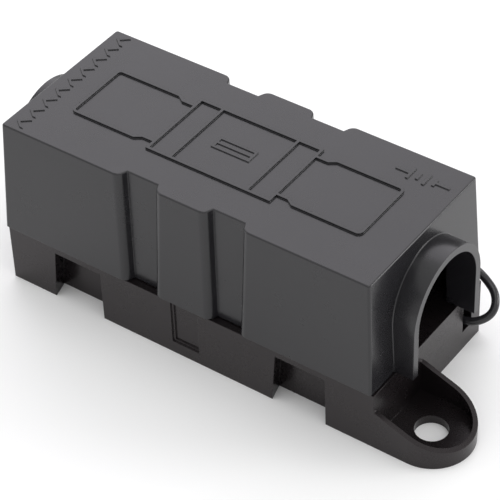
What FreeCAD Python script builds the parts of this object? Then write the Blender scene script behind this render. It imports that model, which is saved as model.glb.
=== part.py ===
import FreeCAD, Part

import math
import os
import re

import Sketcher

# Bolt-down fuse holder for one bolt-in strip fuse: a ribbed base with two diagonal mounting ears,
# two M8 studs, the strip fuse, and a lift-off cover with a cable collar at each end and a moulded tether.
#
# Frame: millimetres. The origin is midway between the two ear holes, on the plane the base stands on.
# +X points to the tether end, +Y to the back (tether side), +Z up.

DIMENSIONS = [
    # base moulding
    ("base_length", 88.9),
    ("base_width", 38.8),
    ("base_height", 13.6),
    ("base_wall", 2.4),
    ("deck_thickness", 3.0),
    ("ear_radius", 8.8),
    ("ear_reach", 52.0),
    ("ear_hole", 6.8),
    ("ear_floor", 1.9),
    ("ear_rim", 1.0),
    ("ear_root_height", 9.3),
    ("ear_tip_height", 2.9),
    ("notch_start", 20.9),
    ("notch_end", 33.4),
    ("notch_slant", 0.9),
    ("notch_height", 12.0),
    ("notch_depth", 3.8),
    ("notch_flare", 1.0),
    ("window_half_width", 3.3),
    ("window_bottom", 2.9),
    ("window_step", 0.3),
    ("window_border", 0.6),
    ("slot_y", 14.5),
    ("slot_width", 3.3),
    ("slot_bottom", 4.7),
    ("slot_top", 11.6),
    ("boss_diameter", 17.0),
    ("rib_thickness", 1.6),
    ("guide_height", 4.6),
    ("guide_thickness", 1.5),
    ("guide_face", 17.2),
    ("guide_end", 40.0),
    ("guide_gap", 1.9),
    # terminals: M8 studs, washers and nuts
    ("terminal_pitch", 50.8),
    ("seat_height", 18.4),
    ("seat_size", 16.6),
    ("stud_diameter", 8.0),
    ("stud_top", 34.6),
    ("stud_bevel", 0.8),
    ("thread_pitch", 1.25),
    ("thread_depth", 0.6),
    ("head_flats", 13.0),
    ("head_bottom", 2.6),
    ("head_height", 5.3),
    ("washer_diameter", 16.0),
    ("washer_bore", 8.4),
    ("washer_thickness", 1.6),
    ("spring_diameter", 14.0),
    ("spring_bore", 8.2),
    ("spring_thickness", 2.0),
    ("spring_slit", 1.4),
    ("spring_slant", 25.0),
    ("nut_flats", 13.0),
    ("nut_height", 6.5),
    ("nut_face_radius", 6.2),
    ("nut_bore", 8.1),
    # strip fuse
    ("fuse_length", 68.6),
    ("tab_width", 15.9),
    ("tab_thickness", 1.6),
    ("neck_width", 13.9),
    ("neck_start", 17.2),
    ("neck_taper", 1.5),
    ("long_hole_travel", 2.4),
    ("case_length", 29.4),
    ("case_width", 18.4),
    ("case_height", 10.4),
    ("case_wall", 1.6),
    ("case_corner", 1.2),
    ("case_end_wall", 3.5),
    ("bridge_width", 4.0),
    ("bridge_taper", 3.0),
    ("pin_diameter", 1.5),
    ("pin_head_height", 0.35),
    ("pin_inset_x", 2.2),
    ("pin_inset_y", 1.15),
    # cover
    ("cover_bottom", 13.9),
    ("cover_height", 26.2),
    ("cover_far_end", 44.9),
    ("cover_near_end", 44.1),
    ("cover_width", 39.7),
    ("cover_wall", 2.0),
    ("cover_inset", 1.2),
    ("groove_outer", 14.0),
    ("groove_outer_floor", 13.1),
    ("groove_inner_floor", 7.3),
    ("groove_inner", 6.4),
    ("groove_depth", 2.05),
    ("corner_radius", 0.6),
    ("lip_radius", 1.8),
    ("roof_bevel", 0.35),
    ("collar_radius", 11.85),
    ("collar_wall", 1.6),
    ("far_collar_length", 3.0),
    ("near_collar_length", 4.3),
    ("collar_centre", 24.9),
    ("collar_root", 0.2),
    ("web_thickness", 1.2),
    ("web_drop", 2.6),
    ("web_reach", 14.0),
    # raised outlines and marks on the cover
    ("relief", 0.4),
    ("ridge", 0.6),
    ("tab_corner", 1.2),
    ("mark_relief", 0.2),
    ("chevron_pitch", 4.0),
    ("chevron_margin", 1.9),
    ("chevron_depth", 1.8),
    ("chevron_half_width", 1.45),
    ("chevron_stroke", 0.85),
    ("symbol_half_length", 4.5),
    ("symbol_half_width", 1.7),
    ("symbol_stroke", 0.55),
    ("cell_start", 31.6),
    ("cell_pitch", 1.8),
    ("cell_lead", 3.0),
    ("cell_y", 12.6),
    # tether
    ("tether_diameter", 1.7),
    ("tether_bar", 4.4),
]

# The tether's route: from the cover's back wall, round the base's corner and in through the slot.
TETHER_ROUTE = [(40.2, 19.4, 16.6), (41.0, 21.5, 14.4), (43.8, 22.2, 12.0), (47.4, 20.8, 10.2),
                (48.6, 17.6, 7.9), (45.6, 14.8, 6.2), (41.5, 14.4, 6.6), (38.6, 14.5, 7.2)]

ALIASES = {name for name, size in DIMENSIONS}
CHEVRON_COUNT = 9
THREAD_RINGS = 12
COVER_MIDDLE = "(cover_near_end - cover_far_end)/2"
# How far a corner of the groove's outline moves along X when the wall beside it moves in by one.
GROOVE_MITRE = "tan(atan(groove_depth/(groove_outer - groove_outer_floor))/2)"

doc = FreeCAD.newDocument("fuse_holder")
sheet = doc.addObject("Spreadsheet::Sheet", "Dims")
for row, (name, size) in enumerate(DIMENSIONS, start=1):
    sheet.set("A%d" % row, name)
    sheet.set("B%d" % row, str(size))
    sheet.setAlias("B%d" % row, name)
doc.recompute()


def linked(expression):
    """The expression with every dimension name pointing at its cell in the sheet."""
    def link(match):
        word = match.group(0)
        return "Dims." + word if word in ALIASES else word
    return re.sub(r"[a-z_]+", link, str(expression))


def size_of(expression):
    """The number an expression works out to, in millimetres or degrees."""
    return float(sheet.evalExpression(linked(expression)))


def bind(thing, **properties):
    """Bind properties of an object to expressions over the sheet."""
    for name, expression in properties.items():
        thing.setExpression(name, linked(expression))


def label(thing, name):
    thing.Label = name
    return thing


# ---------------------------------------------------------------- sketches and features

def new_body(name):
    body = doc.addObject("PartDesign::Body", name)
    return label(body, name)


def new_sketch(body, name, plane, offset="0"):
    """An empty sketch on one of the body's own planes, moved along the plane's normal."""
    sketch = body.newObject("Sketcher::SketchObject", name)
    support = [item for item in body.Origin.OriginFeatures if item.Role == plane][0]
    sketch.AttachmentSupport = [(support, "")]
    sketch.MapMode = "FlatFace"
    sketch.setExpression("AttachmentOffset.Base.z", linked(offset))
    return sketch


def fix_point(sketch, geometry, position, x, y):
    """Hold one point of the sketch at two expressions, measured from the sketch's origin."""
    for kind, expression in (("DistanceX", x), ("DistanceY", y)):
        constraint = Sketcher.Constraint(kind, -1, 1, geometry, position, size_of(expression))
        index = sketch.addConstraint(constraint)
        sketch.setExpression("Constraints[%d]" % index, linked(expression))


def arc_between(start, end, tangent):
    """The arc that leaves start along tangent and ends at end; tells whether it runs clockwise."""
    chord = end - start
    normal = FreeCAD.Vector(-tangent.y, tangent.x, 0)
    reach = chord.dot(chord) / (2 * normal.dot(chord))
    centre = start + normal * reach
    clockwise = reach < 0
    first, last = (end, start) if clockwise else (start, end)
    angles = [math.atan2(point.y - centre.y, point.x - centre.x) for point in (first, last)]
    if angles[1] <= angles[0]:
        angles[1] += 2 * math.pi
    circle = Part.Circle(centre, FreeCAD.Vector(0, 0, 1), abs(reach))
    return Part.ArcOfCircle(circle, angles[0], angles[1]), clockwise


def add_loop(sketch, corners):
    """A closed outline. Each corner is (x, y) or (x, y, "arc"); an arc runs from its corner to the next,
    tangent to the straight edge before it."""
    points = [FreeCAD.Vector(size_of(c[0]), size_of(c[1]), 0) for c in corners]
    count = len(corners)
    edges = []
    for i, corner in enumerate(corners):
        start, end = points[i], points[(i + 1) % count]
        if len(corner) == 3:
            tangent = (start - points[i - 1]).normalize()
            curve, clockwise = arc_between(start, end, tangent)
            ends = (2, 1) if clockwise else (1, 2)
        else:
            curve, ends = Part.LineSegment(start, end), (1, 2)
        edges.append((sketch.addGeometry(curve), ends[0], ends[1]))
    for i, corner in enumerate(corners):
        before, after = edges[i - 1], edges[i]
        kind = "Tangent" if len(corner) == 3 else "Coincident"
        sketch.addConstraint(Sketcher.Constraint(kind, before[0], before[2], after[0], after[1]))
        if len(corner) == 3:
            fix_point(sketch, before[0], before[2], corner[0], corner[1])
        else:
            fix_point(sketch, after[0], after[1], corner[0], corner[1])


def add_circle(sketch, x, y, diameter):
    centre = FreeCAD.Vector(size_of(x), size_of(y), 0)
    circle = Part.Circle(centre, FreeCAD.Vector(0, 0, 1), size_of(diameter) / 2)
    index = sketch.addGeometry(circle)
    fix_point(sketch, index, 3, x, y)
    constraint = sketch.addConstraint(Sketcher.Constraint("Diameter", index, size_of(diameter)))
    sketch.setExpression("Constraints[%d]" % constraint, linked(diameter))


def box_loop(x_low, x_high, y_low, y_high):
    return [(x_low, y_low), (x_high, y_low), (x_high, y_high), (x_low, y_high)]


def hexagon_loop(centre_x, flats):
    """A hexagon on the X axis with two corners on it."""
    corner = "%s/sqrt(3)" % flats
    signs = [(1, 0), (0.5, 1), (-0.5, 1), (-1, 0), (-0.5, -1), (0.5, -1)]
    return [("%s + (%s)*%s" % (centre_x, across, corner), "(%s)*%s/2" % (up, flats)) for across, up in signs]


def feature(body, kind, name, sketch, length=None, symmetric=False, reverse=False, through=False):
    """A pad or pocket of a sketch. A pocket must take material away and a pad must add some."""
    before = body.Shape.Volume if body.Tip else 0.0
    made = body.newObject("PartDesign::" + kind, name)
    made.Profile = sketch
    made.Reversed = reverse
    if symmetric:
        made.SideType = "Symmetric"
    if through:
        made.Type = "ThroughAll"
    else:
        bind(made, Length=length)
    sketch.Visibility = False
    doc.recompute()
    change = made.Shape.Volume - before
    if (change <= 0) == (kind == "Pad"):
        raise RuntimeError("%s changed the volume by %.3f mm3" % (name, change))
    return made


def pad(body, name, sketch, length, **options):
    return feature(body, "Pad", name, sketch, length, **options)


def pocket(body, name, sketch, length=None, **options):
    return feature(body, "Pocket", name, sketch, length, **options)


def loft(body, kind, name, first_sketch, last_sketch):
    """A body or hollow with straight sides from one outline to another."""
    made = body.newObject("PartDesign::" + kind, name)
    made.Profile = first_sketch
    made.Sections = [last_sketch]
    made.Ruled = True
    doc.recompute()
    return made


def round_edges(body, name, radius, wanted):
    """Round the edges of the body's latest feature that the test picks out."""
    base = body.Tip
    picked = ["Edge%d" % (i + 1) for i, edge in enumerate(base.Shape.Edges) if wanted(edge)]
    if not picked:
        raise RuntimeError("no edges found for " + name)
    made = body.newObject("PartDesign::Fillet", name)
    made.Base = (base, picked)
    bind(made, Radius=radius)
    doc.recompute()
    return made


def primitive(kind, name, **properties):
    thing = doc.addObject("Part::" + kind, name)
    bind(thing, **properties)
    return thing


def place(thing, x="0", y="0", z="0"):
    for axis, expression in (("x", x), ("y", y), ("z", z)):
        thing.setExpression("Placement.Base." + axis, linked(expression))
    return thing


def join(name, parts):
    joined = doc.addObject("Part::MultiFuse", name)
    joined.Shapes = parts
    return joined


def cut(name, base, tool):
    made = doc.addObject("Part::Cut", name)
    made.Base = base
    made.Tool = tool
    return made


# ---------------------------------------------------------------- base moulding

def add_ear(body, side, sign):
    """One mounting ear: a round-ended tongue with a thin floor and a rim that falls from the end wall
    to the tip. The near ear is flush with the front face, the far ear with the back face."""
    root = "%s*(base_length/2 - base_wall)" % sign
    centre_x = "%s*ear_reach" % sign
    centre_y = "-%s*(base_width/2 - ear_radius)" % sign
    low = centre_y + " - ear_radius"
    high = centre_y + " + ear_radius"

    outline = new_sketch(body, side + "_ear_outline", "XY_Plane")
    add_loop(outline, ear_loop(sign, root, centre_x, low, high))
    pad(body, side + "_ear", outline, "ear_root_height")

    slope = new_sketch(body, side + "_ear_slope", "XZ_Plane")
    tip = "%s*(ear_reach + ear_radius + 1)" % sign
    end_wall = "%s*base_length/2" % sign
    add_loop(slope, [(end_wall, "ear_root_height"), (tip, "ear_tip_height"), (tip, "ear_root_height + 1"),
                     (end_wall, "ear_root_height + 1")])
    pocket(body, side + "_ear_fall", slope, symmetric=True, through=True)

    tray = new_sketch(body, side + "_ear_tray", "XY_Plane", "ear_floor")
    end_face = "%s*base_length/2" % sign
    add_loop(tray, ear_loop(sign, end_face, centre_x, low + " + ear_rim", high + " - ear_rim"))
    pocket(body, side + "_ear_recess", tray, "ear_root_height", reverse=True)

    hole = new_sketch(body, side + "_ear_hole", "XY_Plane")
    add_circle(hole, centre_x, centre_y, "ear_hole")
    pocket(body, side + "_ear_bore", hole, symmetric=True, through=True)


def ear_loop(sign, root, centre_x, low, high):
    """The tongue's outline, run so that the straight edge before the round end leads into it."""
    if sign == "1":
        return [(root, low), (centre_x, low, "arc"), (centre_x, high), (root, high)]
    return [(root, high), (centre_x, high, "arc"), (centre_x, low), (root, low)]


def add_side_notch(body, side, sign):
    """A notch open at the bottom, in the front and the back wall. Its -X side leans, and flares as it
    goes deeper."""
    low, high = ("notch_start", "notch_end") if sign == "1" else ("-notch_end", "-notch_start")
    for wall, depth_sign in (("front", "1"), ("back", "-1")):
        outlines = []
        for place_name, depth, flare in (("mouth", "0", "0"), ("floor", "notch_depth", "notch_flare")):
            sketch = new_sketch(body, "%s_%s_notch_%s" % (side, wall, place_name), "XZ_Plane",
                                "%s*(base_width/2 - %s)" % (depth_sign, depth))
            add_loop(sketch, [(low + " - " + flare, "-1"), (high, "-1"), (high, "notch_height"),
                              (low + " - " + flare + " + notch_slant", "notch_height"),
                              (low + " - " + flare, "1")])
            outlines.append(sketch)
        loft(body, "SubtractiveLoft", "%s_%s_notch" % (side, wall), *outlines)


def add_underside_cells(body):
    """Hollows under the deck, open at the bottom, with walls and ribs of even thickness between them."""
    depth = "base_height - deck_thickness"
    side = "base_width/2 - base_wall"
    notched_side = "base_width/2 - notch_depth - base_wall"
    for name, sign in (("near", "1"), ("far", "-1")):
        edges = {"end": ("notch_end + base_wall", "base_length/2 - base_wall", side),
                 "middle": ("rib_thickness/2", "notch_start - base_wall", side)}
        for cell, (inner, outer, half) in edges.items():
            low, high = (inner, outer) if sign == "1" else ("-(%s)" % outer, "-(%s)" % inner)
            sketch = new_sketch(body, "%s_%s_cell_outline" % (name, cell), "XY_Plane")
            add_loop(sketch, box_loop(low, high, "-(%s)" % half, half))
            pocket(body, "%s_%s_cell" % (name, cell), sketch, depth, reverse=True)
        sketch = new_sketch(body, name + "_stud_cell_outline", "XY_Plane")
        low, high = ("notch_start - base_wall + rib_thickness", "notch_end + base_wall - rib_thickness")
        if sign == "-1":
            low, high = "-(%s)" % high, "-(%s)" % low
        add_loop(sketch, box_loop(low, high, "-(%s)" % notched_side, notched_side))
        pocket(body, name + "_stud_cell", sketch, depth, reverse=True)
        boss = new_sketch(body, name + "_boss_outline", "XY_Plane")
        add_circle(boss, sign + "*terminal_pitch/2", "0", "boss_diameter")
        pad(body, name + "_boss", boss, "base_height")


def add_stud_hole(body, side, sign):
    """A raised square seat, the stud's shank hole and, from below, the hexagonal pocket for its head."""
    centre = sign + "*terminal_pitch/2"
    seat = new_sketch(body, side + "_seat_outline", "XY_Plane", "base_height")
    add_loop(seat, box_loop(centre + " - seat_size/2", centre + " + seat_size/2",
                            "-seat_size/2", "seat_size/2"))
    pad(body, side + "_seat", seat, "seat_height - base_height")
    shank = new_sketch(body, side + "_shank_hole", "XY_Plane")
    add_circle(shank, centre, "0", "stud_diameter")
    pocket(body, side + "_shank", shank, symmetric=True, through=True)
    head = new_sketch(body, side + "_head_hole", "XY_Plane")
    add_loop(head, hexagon_loop(centre, "head_flats"))
    pocket(body, side + "_head_pocket", head, "head_bottom + head_height", reverse=True)


def add_guides(body):
    """Low walls on the deck that steer the cover's sides; they stop short of the cover's grooves."""
    outer, inner = "(groove_outer + guide_gap)", "(groove_inner - guide_gap)"
    spans = [("far", "-guide_end", "-" + outer), ("mid", "-" + inner, inner), ("near", outer, "guide_end")]
    for side, low, high in (("front", "-guide_face", "-guide_face + guide_thickness"),
                            ("back", "guide_face - guide_thickness", "guide_face")):
        for name, start, end in spans:
            sketch = new_sketch(body, "%s_%s_guide_outline" % (side, name), "XY_Plane", "base_height")
            add_loop(sketch, box_loop(start, end, low, high))
            pad(body, "%s_%s_guide" % (side, name), sketch, "guide_height")


def add_window(body):
    """The stepped recess in the middle of the front wall, and its twin at the back."""
    for wall, sign in (("front", "1"), ("back", "-1")):
        for step, inset in ((1, "0"), (2, "window_border")):
            sketch = new_sketch(body, "%s_window_%d_outline" % (wall, step), "XZ_Plane",
                                sign + "*base_width/2")
            add_loop(sketch, box_loop("-window_half_width + " + inset, "window_half_width",
                                      "window_bottom + " + inset, "base_height + 1"))
            pocket(body, "%s_window_%d" % (wall, step), sketch, "%d*window_step" % step,
                   reverse=wall == "back")


def make_base():
    body = new_body("base_moulding")
    block = new_sketch(body, "block_outline", "XY_Plane")
    add_loop(block, box_loop("-base_length/2", "base_length/2", "-base_width/2", "base_width/2"))
    pad(body, "block", block, "base_height")
    add_underside_cells(body)
    for side, sign in (("near", "1"), ("far", "-1")):
        add_side_notch(body, side, sign)
        add_ear(body, side, sign)
        add_stud_hole(body, side, sign)
    add_guides(body)
    add_window(body)
    slot = new_sketch(body, "tether_slot_outline", "YZ_Plane", "base_length/2 + 1")
    add_loop(slot, box_loop("slot_y - slot_width/2", "slot_y + slot_width/2", "slot_bottom", "slot_top"))
    pocket(body, "tether_slot", slot, "base_wall + 2")
    return body


# ---------------------------------------------------------------- studs, washers and nuts

def terminal_x(side):
    return "terminal_pitch/2" if side == "near" else "-terminal_pitch/2"


def make_stud(side):
    """An M8 stud: hexagonal head held in the base, shank with cut thread rings and a bevelled end."""
    body = doc.addObject("PartDesign::Body", side + "_stud_body")
    head = new_sketch(body, side + "_stud_head_outline", "XY_Plane", "head_bottom")
    add_loop(head, hexagon_loop("0", "head_flats"))
    pad(body, side + "_stud_head", head, "head_height")
    shank = new_sketch(body, side + "_stud_shank_outline", "XY_Plane", "head_bottom")
    add_circle(shank, "0", "0", "stud_diameter")
    pad(body, side + "_stud_shank", shank, "stud_top - head_bottom")
    radius = "stud_diameter/2"
    end = new_sketch(body, side + "_stud_end_outline", "XZ_Plane")
    outside = radius + " + stud_bevel"
    add_loop(end, [(radius + " - stud_bevel", "stud_top"), (radius, "stud_top - stud_bevel"),
                   (outside, "stud_top - stud_bevel"), (outside, "stud_top + stud_bevel"),
                   (radius + " - stud_bevel", "stud_top + stud_bevel")])
    turn_cut(body, side + "_stud_bevel", end)
    ring = new_sketch(body, side + "_thread_outline", "XZ_Plane")
    height = "seat_height + 0.9*thread_pitch"
    crest = radius + " + 0.1"
    add_loop(ring, [(radius + " - thread_depth", height), (crest, height + " - 0.42*thread_pitch"),
                    (crest, height + " + 0.42*thread_pitch")])
    first = turn_cut(body, side + "_thread_ring", ring)
    rings = body.newObject("PartDesign::LinearPattern", side + "_thread")
    rings.Originals = [first]
    rings.Direction = (shank, ["N_Axis"])
    rings.Occurrences = THREAD_RINGS
    bind(rings, Length="%d*thread_pitch" % (THREAD_RINGS - 1))
    body.Tip = rings
    return place(body, terminal_x(side))


def turn_cut(body, name, sketch):
    """Take away what a sketch sweeps when it is turned about the upright axis."""
    before = body.Shape.Volume
    groove = body.newObject("PartDesign::Groove", name)
    groove.Profile = sketch
    groove.ReferenceAxis = (sketch, ["V_Axis"])
    groove.Angle = 360
    doc.recompute()
    if groove.Shape.Volume >= before:
        raise RuntimeError(name + " took nothing away")
    return groove


def make_studs():
    return label(join("terminal_studs", [make_stud("far"), make_stud("near")]), "terminal_studs")


def make_ring(side, name, outside, bore, bottom, thickness):
    """A flat ring round one terminal."""
    disc = primitive("Cylinder", "%s_%s_disc" % (side, name), Radius=outside + "/2", Height=thickness)
    hole = primitive("Cylinder", "%s_%s_hole" % (side, name), Radius=bore + "/2", Height=thickness + " + 2")
    place(disc, terminal_x(side), "0", bottom)
    place(hole, terminal_x(side), "0", bottom + " - 1")
    return cut("%s_%s_ring" % (side, name), disc, hole)


def make_flat_washers():
    rings = [make_ring(side, "washer", "washer_diameter", "washer_bore", "seat_height + tab_thickness",
                       "washer_thickness") for side in ("far", "near")]
    return label(join("flat_washers", rings), "flat_washers")


def make_spring_washer(side):
    """A split ring pressed flat, with its slanted slit towards the front."""
    bottom = "seat_height + tab_thickness + washer_thickness"
    ring = make_ring(side, "spring", "spring_diameter", "spring_bore", bottom, "spring_thickness")
    blade = primitive("Box", side + "_spring_blade", Length="spring_slit", Width="spring_diameter/2 + 1",
                      Height="spring_thickness*3")
    blade.Placement.Rotation = FreeCAD.Rotation(FreeCAD.Vector(0, 1, 0), size_of("spring_slant"))
    place(blade, terminal_x(side) + " - spring_slit/2 - 1.5*spring_thickness*tan(spring_slant)",
          "-spring_diameter/2 - 1", bottom + " - spring_thickness")
    made = cut(side + "_spring_washer", ring, blade)
    return label(made, "spring_washer_" + side)


def make_nut(side):
    """An M8 hexagon nut with its corners bevelled at both faces."""
    bottom = "seat_height + tab_thickness + washer_thickness + spring_thickness"
    prism = primitive("Prism", side + "_nut_prism", Circumradius="nut_flats/sqrt(3)", Height="nut_height")
    prism.Polygon = 6
    wide = "nut_face_radius + nut_height/tan(30)"
    upper = primitive("Cone", side + "_nut_upper_bevel", Radius1=wide, Radius2="nut_face_radius",
                      Height="nut_height")
    lower = primitive("Cone", side + "_nut_lower_bevel", Radius1="nut_face_radius", Radius2=wide,
                      Height="nut_height")
    bore = primitive("Cylinder", side + "_nut_bore", Radius="nut_bore/2", Height="nut_height + 2")
    for piece in (prism, upper, lower):
        place(piece, terminal_x(side), "0", bottom)
    place(bore, terminal_x(side), "0", bottom + " - 1")
    blank = doc.addObject("Part::MultiCommon", side + "_nut_blank")
    blank.Shapes = [prism, upper, lower]
    return label(cut(side + "_nut", blank, bore), "nut_" + side)


# ---------------------------------------------------------------- strip fuse

def make_fuse_element():
    """The stamped strip: two tabs with a round and a long hole, necks, and a narrow bridge in the case."""
    body = new_body("fuse_element")
    outline = new_sketch(body, "strip_outline", "XY_Plane", "seat_height")
    right_top = [("fuse_length/2", "tab_width/2"), ("neck_start + neck_taper", "tab_width/2"),
                 ("neck_start", "neck_width/2"), ("case_length/2 - case_end_wall", "neck_width/2"),
                 ("case_length/2 - case_end_wall - bridge_taper", "bridge_width/2")]
    left_top = [("-(%s)" % x, y) for x, y in reversed(right_top)]
    left_bottom = [("-(%s)" % x, "-(%s)" % y) for x, y in right_top]
    right_bottom = [(x, "-(%s)" % y) for x, y in reversed(right_top)]
    add_loop(outline, right_top + left_top + left_bottom + right_bottom)
    pad(body, "strip", outline, "tab_thickness")
    round_hole = new_sketch(body, "round_hole_outline", "XY_Plane", "seat_height")
    add_circle(round_hole, "terminal_pitch/2", "0", "washer_bore")
    pocket(body, "round_hole", round_hole, symmetric=True, through=True)
    long_hole = new_sketch(body, "long_hole_outline", "XY_Plane", "seat_height")
    left, right = "-(terminal_pitch + long_hole_travel)/2", "-(terminal_pitch - long_hole_travel)/2"
    add_loop(long_hole, [(left, "-washer_bore/2"), (right, "-washer_bore/2", "arc"), (right, "washer_bore/2"),
                         (left, "washer_bore/2", "arc")])
    pocket(body, "long_hole", long_hole, symmetric=True, through=True)
    return body


def make_case_half(name, upper):
    """Half of the fuse's case: a shallow box over or under the strip, with four pin holes."""
    body = new_body(name)
    middle = "seat_height + tab_thickness/2"
    depth = "case_height/2"
    outline = new_sketch(body, name + "_outline", "XY_Plane", middle)
    add_loop(outline, box_loop("-case_length/2", "case_length/2", "-case_width/2", "case_width/2"))
    pad(body, name + "_block", outline, depth, reverse=not upper)
    round_edges(body, name + "_corners", "case_corner", upright)
    channel = new_sketch(body, name + "_channel_outline", "XY_Plane", middle)
    add_loop(channel, box_loop("-case_length", "case_length", "-neck_width/2", "neck_width/2"))
    pocket(body, name + "_channel", channel, "tab_thickness/2", reverse=upper)
    hollow = new_sketch(body, name + "_hollow_outline", "XY_Plane", middle)
    add_loop(hollow, box_loop("-case_length/2 + case_end_wall", "case_length/2 - case_end_wall",
                              "-neck_width/2 + 1", "neck_width/2 - 1"))
    pocket(body, name + "_hollow", hollow, depth + " - case_wall", reverse=upper)
    holes = new_sketch(body, name + "_pin_holes", "XY_Plane", middle)
    for x, y in pin_places():
        add_circle(holes, x, y, "pin_diameter")
    pocket(body, name + "_pins", holes, symmetric=True, through=True)
    return body


def pin_places():
    return [(sx + "*(case_length/2 - pin_inset_x)", sy + "*(case_width/2 - pin_inset_y)")
            for sx in ("-1", "1") for sy in ("-1", "1")]


def upright(edge):
    """True for a straight edge that runs along Z."""
    if edge.Curve.TypeId != "Part::GeomLine":
        return False
    first, last = (vertex.Point for vertex in edge.Vertexes)
    return abs(first.x - last.x) < 1e-6 and abs(first.y - last.y) < 1e-6


def make_fuse_pins():
    """Four pins through both halves of the case, spread to a low round head on top."""
    pieces = []
    for number, (x, y) in enumerate(pin_places(), start=1):
        bottom = "seat_height + tab_thickness/2 - case_height/2"
        shank = primitive("Cylinder", "pin_%d_shank" % number, Radius="pin_diameter/2", Height="case_height")
        head = primitive("Cone", "pin_%d_head" % number, Radius1="pin_diameter*0.72",
                         Radius2="pin_diameter*0.45", Height="pin_head_height")
        place(shank, x, y, bottom)
        place(head, x, y, bottom + " + case_height")
        pieces.append(join("pin_%d" % number, [shank, head]))
    return label(join("fuse_pins", pieces), "fuse_pins")


# ---------------------------------------------------------------- cover

def cover_loop(inset, wall="0"):
    """The cover's plan outline, drawn in by a draft inset and, for the inside, by the wall as well."""
    shift = "((%s) + (%s))*%s" % (inset, wall, GROOVE_MITRE)
    half = "cover_width/2 - (%s) - (%s)" % (inset, wall)
    floor = half + " - groove_depth"
    near = "cover_near_end - (%s) - (%s)" % (inset, wall)
    far = "-cover_far_end + (%s) + (%s)" % (inset, wall)
    steps = [("groove_outer + " + shift, half), ("groove_outer_floor + " + shift, floor),
             ("groove_inner_floor - " + shift, floor), ("groove_inner - " + shift, half)]
    back = steps + [("-(%s)" % x, y) for x, y in reversed(steps)]
    front = [(x, "-(%s)" % y) for x, y in reversed(back)]
    return ([(near, half)] + back + [(far, half), (far, "-(%s)" % half)] + front + [(near, "-(%s)" % half)])


def arch_loop(radius, foot):
    """A half-round arch on straight legs, drawn across the cover (Y to the right, Z up)."""
    return [("-(%s)" % radius, foot), (radius, foot), (radius, "collar_centre", "arc"),
            ("-(%s)" % radius, "collar_centre")]


def add_ridges(body, name, loops, height="relief"):
    """Raised lines on the roof: each closed outline inside another leaves a hole."""
    sketch = new_sketch(body, name + "_outline", "XY_Plane", "cover_bottom + cover_height - 0.2")
    for loop in loops:
        add_loop(sketch, loop)
    pad(body, name, sketch, height + " + 0.2")


def tab_loops(sign):
    """The outline of one fuse tab with its neck, as a frame one ridge wide with two rounded corners."""
    def frame(grow, end):
        side, neck = "(tab_width/2 - %s)" % grow, "(neck_width/2 - %s)" % grow
        outer, round_start = "fuse_length/2 - " + grow, "fuse_length/2 - tab_corner"
        step = "neck_start + 0.4*" + grow
        taper = [(step + " + neck_taper", side), (step, neck), (end, neck)]
        corners = [(outer, "%s - tab_corner + %s" % (side, grow), "arc"), (round_start, side)] + taper
        corners += [(x, "-" + y) for x, y in reversed(taper)]
        corners += [(round_start, "-" + side, "arc"), (outer, "-%s + tab_corner - %s" % (side, grow))]
        return [("%s*(%s) + %s" % (sign, corner[0], COVER_MIDDLE), *corner[1:]) for corner in corners]
    return [frame("0", "case_length/2 - ridge"), frame("ridge", "case_length/2")]


def case_loops():
    """The fuse's case: an outer frame with two cross lines."""
    half = "case_width/2 - ridge"
    before_line, after_line = "(0.615*case_length/2 - ridge/2)", "(0.615*case_length/2 + ridge/2)"
    end = "(case_length/2 - ridge)"
    return [centred_box("-case_length/2", "case_length/2", "case_width/2"),
            centred_box("-" + end, "-" + after_line, half),
            centred_box("-" + before_line, before_line, half),
            centred_box(after_line, end, half)]


def centred_box(low, high, half_width):
    """A box on the roof's middle line, with X measured from the roof's middle."""
    return box_loop("%s + %s" % (COVER_MIDDLE, low), "%s + %s" % (COVER_MIDDLE, high),
                    "-(%s)" % half_width, half_width)


def symbol_loops():
    """A plain fuse symbol: a narrow box with a line through it."""
    outer = centred_box("-symbol_half_length", "symbol_half_length", "symbol_half_width")
    low = COVER_MIDDLE + " - symbol_half_length + symbol_stroke"
    high = COVER_MIDDLE + " + symbol_half_length - symbol_stroke"
    inner, top = "symbol_stroke/2", "symbol_half_width - symbol_stroke"
    return [outer, box_loop(low, high, inner, top), box_loop(low, high, "-(%s)" % top, "-" + inner)]


def chevron_loop(index):
    """One lift mark: a bent stroke whose point shows the end to lift."""
    middle = "(%d)*chevron_pitch" % (index - (CHEVRON_COUNT - 1) / 2)
    tip = "-cover_far_end + cover_inset + chevron_margin"
    tail = tip + " + chevron_depth"
    low, high = middle + " - chevron_half_width", middle + " + chevron_half_width"
    return [(tip, middle), (tail, low), (tail + " + chevron_stroke", low),
            (tip + " + chevron_stroke", middle), (tail + " + chevron_stroke", high), (tail, high)]


def cell_mark_loops():
    """A plain battery-cell symbol near the tether corner: long and short bars between two leads."""
    bars = [("cell_start + %d*cell_pitch" % index, "ridge", half)
            for index, half in enumerate(("1.7", "1.0", "1.7", "1.0"))]
    bars.append(("cell_start - cell_lead", "cell_lead", "ridge/2"))
    bars.append(("cell_start + 3*cell_pitch + ridge", "cell_lead", "ridge/2"))
    return [box_loop(start, "%s + %s" % (start, length), "cell_y - " + half, "cell_y + " + half)
            for start, length, half in bars]


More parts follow.
